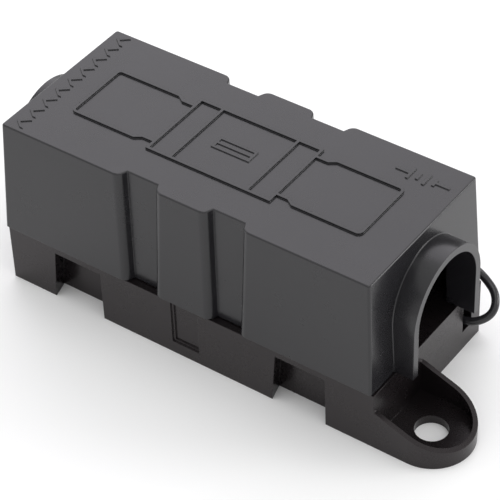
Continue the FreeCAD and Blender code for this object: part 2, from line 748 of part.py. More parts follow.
def make_cover():
    """A drafted shell, open at the bottom, with two upright grooves in each long side, an arched collar
    at each end and raised symbols on the roof."""
    body = new_body("cover")
    outline = new_sketch(body, "shell_outline", "XY_Plane", "cover_bottom")
    add_loop(outline, cover_loop("0"))
    pad(body, "shell", outline, "cover_height")
    draft_sides(body, "shell_draft", "atan(cover_inset/cover_height)")
    round_edges(body, "corners", "corner_radius", is_corner)
    round_edges(body, "groove_lips", "lip_radius", is_groove_lip)
    round_edges(body, "roof_edge", "roof_bevel", is_on_roof)

    far_rim = "(cover_far_end + far_collar_length)"
    near_rim = "(cover_near_end + near_collar_length)"
    collars = new_sketch(body, "collar_outline", "YZ_Plane", "(%s - %s)/2" % (near_rim, far_rim))
    add_loop(collars, arch_loop("collar_radius", "cover_bottom"))
    pad(body, "collars", collars, near_rim + " + " + far_rim, symmetric=True)
    round_edges(body, "collar_roots", "collar_root", is_collar_root)

    inner_low = new_sketch(body, "cavity_low", "XY_Plane", "cover_bottom - 0.001")
    add_loop(inner_low, cover_loop("0", "cover_wall"))
    inner_high = new_sketch(body, "cavity_high", "XY_Plane", "cover_bottom + cover_height - cover_wall")
    add_loop(inner_high, cover_loop("cover_inset*0.924", "cover_wall"))
    loft(body, "SubtractiveLoft", "cavity", inner_low, inner_high)

    tunnel = new_sketch(body, "tunnel_outline", "YZ_Plane")
    add_loop(tunnel, arch_loop("collar_radius - collar_wall", "cover_bottom - 1"))
    pocket(body, "tunnel", tunnel, symmetric=True, through=True)

    for sign, side in (("-1", "far"), ("1", "near")):
        ceiling = "cover_bottom + cover_height - cover_wall"
        web = new_sketch(body, side + "_web_outline", "XY_Plane", ceiling + " - web_drop")
        x = sign + "*(case_length/2 - case_end_wall)"
        add_loop(web, box_loop(x + " - web_thickness/2", x + " + web_thickness/2", "-web_reach", "web_reach"))
        pad(body, side + "_web", web, "web_drop + 0.2")

    add_ridges(body, "case_ridges", case_loops())
    add_ridges(body, "near_tab_ridges", tab_loops("1"))
    add_ridges(body, "far_tab_ridges", tab_loops("-1"))
    add_ridges(body, "fuse_symbol", symbol_loops(), "mark_relief")
    add_ridges(body, "lift_marks", [chevron_loop(index) for index in range(CHEVRON_COUNT)], "mark_relief")
    add_ridges(body, "cell_mark", cell_mark_loops(), "mark_relief")
    return body


def draft_sides(body, name, angle):
    """Lean every side face of the latest feature inwards, turning about its bottom edge."""
    base = body.Tip
    upright_faces, bottom = [], []
    for number, face in enumerate(base.Shape.Faces, start=1):
        rise = face.normalAt(0, 0).z
        if abs(rise) < 0.01:
            upright_faces.append("Face%d" % number)
        elif rise < 0:
            bottom.append("Face%d" % number)
    draft = body.newObject("PartDesign::Draft", name)
    draft.Base = (base, upright_faces)
    draft.NeutralPlane = (base, bottom)
    bind(draft, Angle=angle)
    doc.recompute()
    return draft


def is_groove_lip(edge):
    """The upright edges where a groove meets the side panels."""
    ends = [vertex.Point for vertex in edge.Vertexes]
    foot = min(ends, key=lambda point: point.z)
    at_lip = min(abs(abs(foot.x) - size_of(name)) for name in ("groove_outer", "groove_inner")) < 0.01
    return abs(ends[0].z - ends[-1].z) > 20 and at_lip


def is_corner(edge):
    """The four upright corners of the shell."""
    ends = [vertex.Point for vertex in edge.Vertexes]
    return abs(ends[0].z - ends[-1].z) > 20 and min(abs(point.x) for point in ends) > 40


def is_collar_root(edge):
    """The arch where a collar leaves the end wall."""
    ends = [vertex.Point for vertex in edge.Vertexes]
    inside = all(size_of("cover_near_end - cover_inset") - 0.3 < abs(point.x) < size_of("cover_far_end") + 0.1
                 for point in ends)
    across = all(abs(abs(point.y) - size_of("collar_radius")) < 0.01 for point in ends)
    return inside and across and all(point.z > size_of("cover_bottom") - 0.01 for point in ends)


def is_on_roof(edge):
    """The outline of the roof."""
    roof = size_of("cover_bottom + cover_height")
    return all(abs(vertex.Point.z - roof) < 0.01 for vertex in edge.Vertexes)


# ---------------------------------------------------------------- tether

def rounded_path(route):
    """Straight runs along the route joined by tangent arcs. Each arc's radius is 0.45 of the shorter run
    beside it, divided by the tangent of half the turn."""
    edges, radii, start = [], [], route[0]
    for before, corner, after in zip(route, route[1:], route[2:]):
        come, leave = (corner - before).normalize(), (after - corner).normalize()
        half_turn = come.getAngle(leave) / 2
        reach = 0.45 * min(corner.distanceToPoint(before), corner.distanceToPoint(after))
        bend = reach / math.tan(half_turn)
        inward = (leave - come).normalize()
        middle = corner + inward * (bend / math.cos(half_turn) - bend)
        first, last = corner - come * reach, corner + leave * reach
        edges.append(Part.LineSegment(start, first).toShape())
        edges.append(Part.Arc(first, middle, last).toShape())
        radii.append(bend)
        start = last
    edges.append(Part.LineSegment(start, route[-1]).toShape())
    return Part.Wire(edges), radii


def make_tether():
    """A round moulded cord from the cover's back wall, round the corner of the base and through the slot
    in the end wall, where a short cross bar keeps it in."""
    radius = size_of("tether_diameter/2")
    route = [FreeCAD.Vector(*point) for point in TETHER_ROUTE]
    path, radii = rounded_path(route)
    section = Part.Wire([Part.Circle(route[0], route[1] - route[0], radius).toShape()])
    cord = path.makePipeShell([section], True, False)
    print("tether: bend radii %s mm" % ", ".join("%.1f" % bend for bend in radii))
    print("tether: length %.1f mm, volume %.1f mm3, section x length %.1f mm3" % (
        path.Length, cord.Volume, math.pi * radius ** 2 * path.Length))
    bar_length = size_of("tether_bar")
    bar = Part.makeCylinder(radius, bar_length, route[-1] - FreeCAD.Vector(0, bar_length / 2, 0),
                            FreeCAD.Vector(0, 1, 0))
    tether = doc.addObject("Part::Feature", "cover_tether")
    tether.Shape = cord.fuse(bar).removeSplitter()
    return label(tether, "cover_tether")


# ---------------------------------------------------------------- build, check and write

def check_and_write(parts):
    doc.recompute()
    for thing in doc.Objects:
        if "Invalid" in thing.State or "Error" in thing.State:
            raise RuntimeError("%s is in state %s" % (thing.Label, thing.State))
    os.makedirs("parts", exist_ok=True)
    for part in parts:
        if part.Shape.isNull() or not part.Shape.isValid():
            raise RuntimeError(part.Label + " has no valid shape")
        part.Shape.exportStep("parts/%s.step" % part.Label)
        box = part.Shape.BoundBox
        print("%-20s %9.1f mm3  x %6.1f %6.1f  y %6.1f %6.1f  z %6.1f %6.1f" % (
            part.Label, part.Shape.Volume, box.XMin, box.XMax, box.YMin, box.YMax, box.ZMin, box.ZMax))


PARTS = [make_base(), make_studs(), make_flat_washers()]
for terminal in ("far", "near"):
    PARTS.append(make_spring_washer(terminal))
    PARTS.append(make_nut(terminal))
PARTS.append(make_fuse_element())
PARTS.append(make_case_half("fuse_case_lower", upper=False))
PARTS.append(make_case_half("fuse_case_upper", upper=True))
PARTS.append(make_fuse_pins())
PARTS.append(make_cover())
PARTS.append(make_tether())
check_and_write(PARTS)
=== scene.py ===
import math

import bpy
import numpy as np
from mathutils import Matrix, Vector


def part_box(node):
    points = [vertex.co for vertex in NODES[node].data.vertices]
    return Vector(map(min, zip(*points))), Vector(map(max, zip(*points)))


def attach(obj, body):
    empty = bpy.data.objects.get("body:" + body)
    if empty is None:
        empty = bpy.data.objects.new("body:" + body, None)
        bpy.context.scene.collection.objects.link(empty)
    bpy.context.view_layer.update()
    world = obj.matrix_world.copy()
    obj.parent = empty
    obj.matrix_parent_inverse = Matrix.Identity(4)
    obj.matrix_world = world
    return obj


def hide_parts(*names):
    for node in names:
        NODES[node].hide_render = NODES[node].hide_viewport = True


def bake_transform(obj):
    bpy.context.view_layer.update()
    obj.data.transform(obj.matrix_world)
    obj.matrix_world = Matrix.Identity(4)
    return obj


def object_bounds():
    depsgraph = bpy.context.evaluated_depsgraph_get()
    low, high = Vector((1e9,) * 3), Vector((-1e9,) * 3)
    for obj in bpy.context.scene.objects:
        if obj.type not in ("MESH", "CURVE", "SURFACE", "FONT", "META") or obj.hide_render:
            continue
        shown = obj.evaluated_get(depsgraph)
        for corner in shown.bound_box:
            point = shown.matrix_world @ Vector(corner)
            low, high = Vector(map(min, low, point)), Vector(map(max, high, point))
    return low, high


bl_info = {
    "name": "Strip fuse holder",
    "version": (1, 0, 0),
    "blender": (4, 5, 0),
    "location": "3D View > Sidebar > Fuse holder",
    "description": "Finishes, tether, threads and studio for a bolt-down strip fuse holder",
    "category": "Object",
}

# The holder stands on its base, +X to the tether end, +Y to the back, +Z up. Lengths are in metres.
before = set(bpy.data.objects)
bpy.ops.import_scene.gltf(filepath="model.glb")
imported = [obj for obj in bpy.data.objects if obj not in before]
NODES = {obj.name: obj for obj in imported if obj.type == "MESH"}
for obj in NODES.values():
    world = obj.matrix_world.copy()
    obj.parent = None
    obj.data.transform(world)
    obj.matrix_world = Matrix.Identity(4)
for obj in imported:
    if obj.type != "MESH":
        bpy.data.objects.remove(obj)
CAD_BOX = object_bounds()

MM = 0.001
PIN_RADIUS = 1.5 * MM
STAIN_COLOUR = (0.46, 0.44, 0.36)
SHARP_ANGLE = math.radians(35)
WHITE = (1.0, 1.0, 1.0)


def mid(node):
    """The middle of a CAD node's box."""
    low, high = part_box(node)
    return (low + high) / 2


FLOOR_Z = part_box("base_moulding")[0].z
HALF_HEIGHT = CAD_BOX[1][2] / 2
STUDS_LOW, STUDS_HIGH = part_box("terminal_studs")
STUD_X = mid("nut_near").x
THREAD_START = mid("fuse_case_lower").z


# ---------------------------------------------------------------- settings

class MouldingSettings(bpy.types.PropertyGroup):
    """Colours and grain of the moulded plastic."""

    cover_colour: bpy.props.FloatVectorProperty(
        name="Cover colour", description="Charcoal of the cover and its tether",
        default=(0.0135, 0.0130, 0.0150), subtype="COLOR", min=0, max=1)
    base_colour: bpy.props.FloatVectorProperty(
        name="Base colour", description="Warm black of the base moulding",
        default=(0.0090, 0.0072, 0.0078), subtype="COLOR", min=0, max=1)
    grain_size: bpy.props.FloatProperty(
        name="Grain size", description="Pitch of the spark-eroded grain",
        default=0.16 * MM, unit="LENGTH", precision=6)
    cover_roughness: bpy.props.FloatProperty(
        name="Cover roughness", description="Mean roughness of the cover's satin surface",
        default=0.21, min=0, max=1)
    base_roughness: bpy.props.FloatProperty(
        name="Base roughness", description="Mean roughness of the base's surface",
        default=0.23, min=0, max=1)
    cover_gloss: bpy.props.FloatProperty(
        name="Cover gloss", description="Specular level of the cover and its tether",
        default=0.50, min=0, max=1)
    base_gloss: bpy.props.FloatProperty(
        name="Base gloss", description="Specular level of the base", default=0.38, min=0, max=1)
    base_gloss_tint: bpy.props.FloatVectorProperty(
        name="Base gloss tint", description="Colour of the base's reflections",
        default=(1.0, 0.93, 0.95), subtype="COLOR", min=0, max=1)


class TetherSettings(bpy.types.PropertyGroup):
    """Size of the moulded tether."""

    diameter: bpy.props.FloatProperty(
        name="Diameter", description="Thickness of the tether's cord",
        default=1.7 * MM, unit="LENGTH", precision=6)
    bar_length: bpy.props.FloatProperty(
        name="Bar length", description="Length of the cross bar inside the base",
        default=4.4 * MM, unit="LENGTH", precision=6)
    sides: bpy.props.IntProperty(
        name="Sides", description="Faces round the cord", default=32, min=8)


class TerminalSettings(bpy.types.PropertyGroup):
    """Size of the studs and the colour of their zinc plate."""

    zinc_colour: bpy.props.FloatVectorProperty(
        name="Zinc", description="Bright zinc plate on the studs, washers and nuts",
        default=(0.60, 0.61, 0.62), subtype="COLOR", min=0, max=1)
    stud_radius: bpy.props.FloatProperty(
        name="Stud radius", description="Outside of the M8 thread",
        default=4.0 * MM, unit="LENGTH", precision=6)
    thread_pitch: bpy.props.FloatProperty(
        name="Thread pitch", description="Rise of the thread in one turn",
        default=1.25 * MM, unit="LENGTH", precision=6)
    thread_depth: bpy.props.FloatProperty(
        name="Thread depth", description="From the crest to the root",
        default=0.68 * MM, unit="LENGTH", precision=6)
    head_height: bpy.props.FloatProperty(
        name="Head height", description="Thickness of the stud's hexagonal head",
        default=5.3 * MM, unit="LENGTH", precision=6)
    turn_steps: bpy.props.IntProperty(
        name="Turn steps", description="Faces round the stud", default=96, min=24)
    pitch_steps: bpy.props.IntProperty(
        name="Pitch steps", description="Rings of faces in one pitch", default=18, min=6)


class FuseSettings(bpy.types.PropertyGroup):
    """Colours of the strip fuse."""

    tin_colour: bpy.props.FloatVectorProperty(
        name="Tin", description="Dull tin plate on the fuse strip",
        default=(0.66, 0.65, 0.62), subtype="COLOR", min=0, max=1)
    case_colour: bpy.props.FloatVectorProperty(
        name="Case", description="Grey thermoset of the fuse case",
        default=(0.43, 0.42, 0.38), subtype="COLOR", min=0, max=1)
    brass_colour: bpy.props.FloatVectorProperty(
        name="Brass", description="Pins of the fuse case",
        default=(0.62, 0.44, 0.17), subtype="COLOR", min=0, max=1)


class StageSettings(bpy.types.PropertyGroup):
    """The camera, the lamps and the floor."""

    azimuth: bpy.props.FloatProperty(
        name="Azimuth", description="Camera's turn round the holder; 0 looks along +Y",
        default=math.radians(36.89), subtype="ANGLE")
    elevation: bpy.props.FloatProperty(
        name="Elevation", description="Camera's height above the horizon",
        default=math.radians(41.52), subtype="ANGLE")
    roll: bpy.props.FloatProperty(
        name="Roll", description="Camera's turn about its own line of sight",
        default=math.radians(-2.35), subtype="ANGLE")
    distance: bpy.props.FloatProperty(
        name="Distance", description="From the camera to the point it aims at",
        default=0.4598, unit="LENGTH")
    aim: bpy.props.FloatVectorProperty(
        name="Aim", description="Point that the camera aims at",
        default=(0.00297, -0.00084, 0.01648), subtype="TRANSLATION")
    lens: bpy.props.FloatProperty(
        name="Lens", description="Focal length in millimetres", default=166.0)
    floor_colour: bpy.props.FloatVectorProperty(
        name="Floor colour", description="Colour of the pale floor",
        default=(0.96, 0.96, 0.96), subtype="COLOR", min=0, max=1)
    room_light: bpy.props.FloatProperty(
        name="Room light", description="Strength of the even light from all round", default=0.88, min=0)


# ---------------------------------------------------------------- shader nodes

class Shader:
    """A material under construction: one Principled surface and the nodes that feed it."""

    def __init__(self, name):
        self.material = bpy.data.materials.new(name)
        self.material.use_nodes = True
        self.tree = self.material.node_tree
        self.surface = self.tree.nodes["Principled BSDF"]
        self.place = self.add("ShaderNodeTexCoord").outputs["Object"]

    def add(self, kind, inputs=(), **settings):
        """A node with its settings made and its inputs linked or filled, given as (socket, value) pairs."""
        made = self.tree.nodes.new(kind)
        for key, value in settings.items():
            setattr(made, key, value)
        for socket, value in inputs:
            if isinstance(value, bpy.types.NodeSocket):
                self.tree.links.new(value, made.inputs[socket])
            else:
                made.inputs[socket].default_value = value
        return made

    def set(self, **values):
        """Plain values on the surface's own sockets, named with underscores for spaces."""
        for name, value in values.items():
            socket = self.surface.inputs[name.replace("_", " ")]
            socket.default_value = (*value, 1.0) if hasattr(value, "__len__") and len(value) == 3 else value

    def link(self, socket, value):
        """Feeds one of the surface's sockets from a node's output."""
        self.tree.links.new(value, self.surface.inputs[socket])

    def stretched(self, scale, turn=(0, 0, 0)):
        """Object coordinates with their own scale along each axis."""
        return self.add("ShaderNodeMapping", [("Vector", self.place), ("Scale", scale),
                                              ("Rotation", turn)]).outputs["Vector"]

    def noise(self, size, detail=2.0, rough=0.5, vector=None):
        """Noise whose blotches are about size metres across, from 0 to 1."""
        return self.add("ShaderNodeTexNoise", [("Vector", vector or self.place), ("Scale", 1 / size),
                                               ("Detail", detail), ("Roughness", rough)]).outputs["Fac"]

    def cells(self, size):
        """Distance from the nearest point of a random net with cells about size metres across."""
        inputs = [("Vector", self.place), ("Scale", 1 / size)]
        return self.add("ShaderNodeTexVoronoi", inputs).outputs["Distance"]

    def span(self, value, low, high, to_low=0.0, to_high=1.0):
        """The value moved from low..high to to_low..to_high, and held there outside."""
        return self.add("ShaderNodeMapRange", [("Value", value), ("From Min", low), ("From Max", high),
                                               ("To Min", to_low), ("To Max", to_high)]).outputs["Result"]

    def maths(self, operation, first, second=0.0):
        """The result of one sum on numbers or node outputs."""
        return self.add("ShaderNodeMath", [(0, first), (1, second)], operation=operation).outputs["Value"]

    def mix(self, share, first, second):
        """One colour blended into another."""
        made = self.add("ShaderNodeMix", [(0, share)], data_type="RGBA")
        for index, colour in ((6, first), (7, second)):
            if isinstance(colour, bpy.types.NodeSocket):
                self.tree.links.new(colour, made.inputs[index])
            else:
                made.inputs[index].default_value = (*colour, 1.0)
        return made.outputs[2]

    def normal(self):
        """The way the surface faces, bumps left out."""
        return self.add("ShaderNodeNewGeometry").outputs["Normal"]

    def upward(self):
        """1 on faces that look straight up, 0 on upright ones and -1 underneath."""
        return self.add("ShaderNodeSeparateXYZ", [("Vector", self.normal())]).outputs["Z"]

    def edges(self, radius):
        """1 along sharp edges and 0 on flat faces: where a rounded normal turns away from the real one."""
        rounded = self.add("ShaderNodeBevel", [("Radius", radius)], samples=6).outputs["Normal"]
        agree = self.add("ShaderNodeVectorMath", [(0, rounded), (1, self.normal())], operation="DOT_PRODUCT")
        return self.span(agree.outputs["Value"], 0.75, 0.995, 1.0, 0.0)

    def soft_edges(self, radius):
        """Normals that turn smoothly over sharp edges, as a moulding's slight rounding does."""
        return self.add("ShaderNodeBevel", [("Radius", radius)], samples=8).outputs["Normal"]

    def bump(self, height, distance, strength=1.0, under=None):
        """A bump from a height of 0 to 1 that stands for distance metres, over another bump if given."""
        inputs = [("Height", height), ("Distance", distance), ("Strength", strength)]
        if under is not None:
            inputs.append(("Normal", under))
        return self.add("ShaderNodeBump", inputs).outputs["Normal"]

    def coordinate(self, axis):
        """The object coordinate along one axis."""
        return self.add("ShaderNodeSeparateXYZ", [("Vector", self.place)]).outputs[axis]


def shade(colour, factor):
    """The colour made lighter or darker."""
    return tuple(min(1.0, c * factor) for c in colour)


def ejector_marks(s, x, y, radius):
    """1 on thin rings around the four points (+-x, +-y), on faces that look down: a mould's pin marks."""
    from_x = s.maths("SUBTRACT", s.maths("ABSOLUTE", s.coordinate("X")), x)
    from_y = s.maths("SUBTRACT", s.maths("ABSOLUTE", s.coordinate("Y")), y)
    squares = s.maths("ADD", s.maths("POWER", from_x, 2.0), s.maths("POWER", from_y, 2.0))
    off_ring = s.maths("ABSOLUTE", s.maths("SUBTRACT", s.maths("SQRT", squares), radius))
    ring = s.span(off_ring, 0.06 * MM, 0.16 * MM, 1.0, 0.0)
    return s.maths("MULTIPLY", ring, s.span(s.upward(), -0.9, -0.95))


def moulded_plastic(name, colour, roughness, grain, gloss, tint=WHITE, pins=()):
    """Semi-gloss glass-filled plastic: fine spark-eroded grain, slow tone changes from the flow of the melt,
    patchy painted highlights along sharp edges, a trace of dust on upward faces and ring marks of the ejector
    pins underneath."""
    s = Shader(name)
    s.set(IOR=1.5, Specular_IOR_Level=gloss, Specular_Tint=tint)
    flow = s.noise(22 * MM, 3, 0.6, s.stretched((1.0, 1.6, 0.7)))
    fleck = s.cells(grain * 2.2)
    body = s.mix(s.span(flow, 0.3, 0.7), shade(colour, 0.90), shade(colour, 1.10))
    body = s.mix(s.span(fleck, 0.05, 0.6, 0.0, 0.35), body, shade(colour, 0.80))
    # Painted highlight: sharp edges are lightened towards a paler tone, in patches set by noise.
    edge_highlight = s.maths("MULTIPLY", s.edges(0.25 * MM), s.span(s.noise(1.7 * MM, 4, 0.7), 0.35, 0.65, 0.1, 1.0))
    body = s.mix(s.maths("MULTIPLY", edge_highlight, 0.22), body, shade(colour, 2.4))
    settled = s.maths("MULTIPLY", s.span(s.upward(), 0.5, 1.0),
                      s.span(s.noise(6 * MM, 5, 0.75), 0.45, 0.8, 0.0, 0.2))
    body = s.mix(settled, body, shade(colour, 2.0))
    s.link("Base Color", body)
    polish = s.span(s.noise(9 * MM, 4, 0.65), 0.3, 0.7, roughness - 0.03, roughness + 0.05)
    polish = s.maths("ADD", polish, s.span(fleck, 0.0, 0.6, -0.02, 0.03))
    s.link("Roughness", s.maths("ADD", polish, s.maths("MULTIPLY", settled, 0.25)))
    waves = s.bump(s.noise(14 * MM, 2, 0.5), 0.05 * MM, 0.25, s.soft_edges(0.16 * MM))
    for x, y in pins:
        waves = s.bump(ejector_marks(s, x, y, PIN_RADIUS), 0.08 * MM, 0.6, waves)
    coarse = s.bump(s.noise(grain * 2.6, 3, 0.6), 0.006 * MM, 0.45, waves)
    skin = s.maths("ADD", s.maths("MULTIPLY", fleck, 0.6), s.noise(grain, 2, 0.6))
    s.link("Normal", s.bump(skin, 0.005 * MM, 0.4, coarse))
    return s.material


def bright_metal(name, colour, roughness, stretch):
    """Bright plate or brass: fine lines, long where the stretch is low, small stains and lighter sharp edges.
    """
    s = Shader(name)
    s.set(Metallic=1.0)
    lines = s.noise(0.35 * MM, 3, 0.6, s.stretched(stretch))
    stain = s.noise(2.4 * MM, 5, 0.7)
    tone = s.mix(s.span(lines, 0.3, 0.7), shade(colour, 0.86), shade(colour, 1.08))
    tone = s.mix(s.span(stain, 0.52, 0.75, 0.0, 0.55), tone, STAIN_COLOUR)
    # Sharp edges are made lighter.
    tone = s.mix(s.maths("MULTIPLY", s.edges(0.25 * MM), 0.4), tone, shade(colour, 1.25))
    s.link("Base Color", tone)
    dull = s.span(stain, 0.35, 0.75, roughness - 0.06, roughness + 0.16)
    s.link("Roughness", s.maths("ADD", dull, s.span(lines, 0.2, 0.8, -0.04, 0.04)))
    s.link("Normal", s.bump(lines, 0.006 * MM, 0.7, s.bump(s.noise(0.8 * MM, 3), 0.01 * MM, 0.4)))
    return s.material


def tinned_strip(name, colour):
    """Dull tin plate on a stamped strip: soft mottling, drawn lines along the strip and light scratches."""
    s = Shader(name)
    s.set(Metallic=1.0)
    mottle = s.noise(1.1 * MM, 5, 0.7)
    lines = s.noise(0.5 * MM, 3, 0.6, s.stretched((0.05, 1.6, 1.0)))
    scratch = s.noise(0.6 * MM, 2, 0.5, s.stretched((0.12, 3.0, 1.0), (0, 0, math.radians(31))))
    tone = s.mix(s.span(mottle, 0.35, 0.65), shade(colour, 0.82), shade(colour, 1.1))
    tone = s.mix(s.span(scratch, 0.70, 0.74, 0.0, 0.5), tone, shade(colour, 1.4))
    s.link("Base Color", tone)
    dull = s.span(mottle, 0.3, 0.7, 0.26, 0.44)
    s.link("Roughness", s.maths("ADD", dull, s.span(lines, 0.2, 0.8, -0.05, 0.05)))
    s.link("Normal", s.bump(lines, 0.008 * MM, 0.6, s.bump(mottle, 0.015 * MM, 0.5)))
    return s.material


def case_plastic(name, colour):
    """Matt thermoset of the fuse's case: chalky specks, a fine pitted skin and lighter sharp edges."""
    s = Shader(name)
    s.set(IOR=1.48)
    specks = s.cells(0.25 * MM)
    tone = s.mix(s.span(s.noise(5 * MM, 4, 0.6), 0.3, 0.7), shade(colour, 0.9), shade(colour, 1.06))
    tone = s.mix(s.span(specks, 0.0, 0.25, 0.3, 0.0), tone, shade(colour, 0.55))
    # Sharp edges are made lighter.
    tone = s.mix(s.maths("MULTIPLY", s.edges(0.3 * MM), 0.35), tone, shade(colour, 1.35))
    s.link("Base Color", tone)
    s.link("Roughness", s.span(specks, 0.0, 0.6, 0.72, 0.55))
    s.link("Normal", s.bump(s.noise(0.2 * MM, 3, 0.6), 0.012 * MM, 0.9))
    return s.material


def satin_floor(name, colour):
    """A pale matt sweep with the faintest change of tone."""
    s = Shader(name)
    s.link("Base Color", s.mix(s.span(s.noise(0.35, 2), 0.3, 0.7), shade(colour, 0.995), shade(colour, 1.0)))
    s.set(Roughness=0.75, Specular_IOR_Level=0.2)
    return s.material


def dress(names, material):
    """Gives CAD nodes or pieces one material."""
    for name in names:
        target = NODES.get(name) or bpy.data.objects[name]
        target.data.materials.clear()
        target.data.materials.append(material)


# ---------------------------------------------------------------- surfaces

def surface(name, points, closed=False, caps=(), smooth=True):
    """A mesh over a grid of points, shape (rows, columns, 3). Neighbouring rows and columns are joined by
    quads, and closed joins the last column to the first. Each cap is (row, turned) and closes that row
    with one face."""
    rows, columns = points.shape[:2]
    index = np.arange(rows * columns).reshape(rows, columns)
    across = np.roll(index, -1, axis=1) if closed else index[:, 1:]
    here = index if closed else index[:, :-1]
    quads = np.stack([here[:-1], across[:-1], across[1:], here[1:]], -1).reshape(-1, 4)
    faces = quads.tolist()
    for row, turned in caps:
        ring = index[row].tolist()
        faces.append(ring[::-1] if turned else ring)
    mesh = bpy.data.meshes.new(name)
    mesh.from_pydata(points.reshape(-1, 3).tolist(), [], faces)
    mesh.polygons.foreach_set("use_smooth", np.full(len(faces), smooth))
    mesh.update()
    made = bpy.data.objects.new(name, mesh)
    bpy.context.scene.collection.objects.link(made)
    return made


def tube(name, path, radii, sides):
    """A round tube with closed ends: at each point of a path that never runs straight up, a circle of
    radii[i] between a level arm, square to the path, and a second arm square to both."""
    heading = np.gradient(path, axis=0)
    heading /= np.linalg.norm(heading, axis=1)[:, None]
    level = np.cross(heading, (0.0, 0.0, 1.0))
    level /= np.linalg.norm(level, axis=1)[:, None]
    other = np.cross(heading, level)
    turn = np.linspace(0, 2 * np.pi, sides, endpoint=False)[None, :, None]
    ring = np.cos(turn) * level[:, None, :] + np.sin(turn) * other[:, None, :]
    points = path[:, None, :] + ring * np.asarray(radii)[:, None, None]
    return surface(name, points, closed=True, caps=((0, True), (-1, False)))


def spline_points(name, route, steps):
    """Points along a smooth NURBS line whose control points are the route."""
    curve = bpy.data.curves.new(name, "CURVE")
    curve.dimensions = "3D"
    curve.resolution_u = steps
    line = curve.splines.new("NURBS")
    line.points.add(len(route) - 1)
    for point, place in zip(line.points, route):
        point.co = (*place, 1.0)
    line.order_u = 3
    line.use_endpoint_u = True
    holder = bpy.data.objects.new(name, curve)
    mesh = bpy.data.meshes.new_from_object(holder)
    points = np.array([vertex.co for vertex in mesh.vertices])
    bpy.data.objects.remove(holder)
    bpy.data.curves.remove(curve)
    bpy.data.meshes.remove(mesh)
    return points


# ---------------------------------------------------------------- operators

class FUSEHOLDER_OT_moulding(bpy.types.Operator):
    """Finish the base and the cover as grained plastic"""

    bl_idname = "fuseholder.moulding"
    bl_label = "Finish mouldings"

    # Where the mould's ejector pins stood, as distances from the middle along X and Y, on all four sides.
    BASE_PINS = ((9 * MM, 12 * MM), (14 * MM, 4 * MM), (39 * MM, 6 * MM))
    COVER_PINS = ((7 * MM, 10 * MM), (34 * MM, 12 * MM), (24 * MM, 4 * MM))

    def execute(self, context):
        look = context.scene.fuseholder_moulding
        base = moulded_plastic("base plastic", look.base_colour, look.base_roughness, look.grain_size,
                               look.base_gloss, look.base_gloss_tint, self.BASE_PINS)
        cover = moulded_plastic("cover plastic", look.cover_colour, look.cover_roughness, look.grain_size,
                                look.cover_gloss, pins=self.COVER_PINS)
        dress(["base_moulding"], base)
        dress(["cover"], cover)
        return {"FINISHED"}


class FUSEHOLDER_OT_tether(bpy.types.Operator):
    """Build the moulded tether as one smooth cord that bends between the base and the cover"""

    bl_idname = "fuseholder.tether"
    bl_label = "Build tether"

    # The cord's route, from the cover's back wall, round the corner and into the slot in the base's end.
    ROUTE = np.array([(40.2, 19.4, 16.6), (41.0, 21.5, 14.4), (43.8, 22.2, 12.0), (47.4, 20.8, 10.2),
                      (48.6, 17.6, 7.9), (45.6, 14.8, 6.2), (41.5, 14.4, 6.6), (38.6, 14.5, 7.2)]) * MM

    def execute(self, context):
        look = context.scene.fuseholder_tether
        moulding = context.scene.fuseholder_moulding
        cord, bar = self.cord(look), self.bar(look)
        plastic = moulded_plastic("tether plastic", moulding.cover_colour, moulding.cover_roughness,
                                  moulding.grain_size, moulding.cover_gloss)
        dress(["tether_cord", "tether_bar"], plastic)
        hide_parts("cover_tether")
        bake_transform(cord)
        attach(bar, "base")
        return {"FINISHED"}

    def cord(self, look):
        """The cord along its route, a little thicker where it grows out of the cover's wall: its radius rises
        by a share that dies away, as a bell curve does, over about a millimetre from that end."""
        root_share, root_length = 0.28, 1.0 * MM
        path = spline_points("tether line", self.ROUTE, 24)
        from_root = np.linalg.norm(path - path[0], axis=1)
        radii = look.diameter / 2 * (1 + root_share * np.exp(-(from_root / root_length) ** 2))
        return tube("tether_cord", path, radii, look.sides)

    def bar(self, look):
        """The cross bar inside the base: a rod along Y with rounded ends, whose radius follows a quarter
        circle over the last half millimetre."""
        half, radius, rounding = look.bar_length / 2, look.diameter / 2, 0.5 * MM
        angle = np.linspace(0.05, np.pi / 2, 9)
        end_y = half - rounding + rounding * np.cos(angle)
        end_radius = radius - rounding + rounding * np.sin(angle)
        middle_y = np.linspace(-end_y[-1], end_y[-1], 12)[1:-1]
        y = np.concatenate([-end_y, middle_y, end_y[::-1]])
        radii = np.concatenate([end_radius, np.full_like(middle_y, radius), end_radius[::-1]])
        path = np.stack([np.zeros_like(y), y, np.zeros_like(y)], -1) + self.ROUTE[-1]
        return tube("tether_bar", path, radii, look.sides)


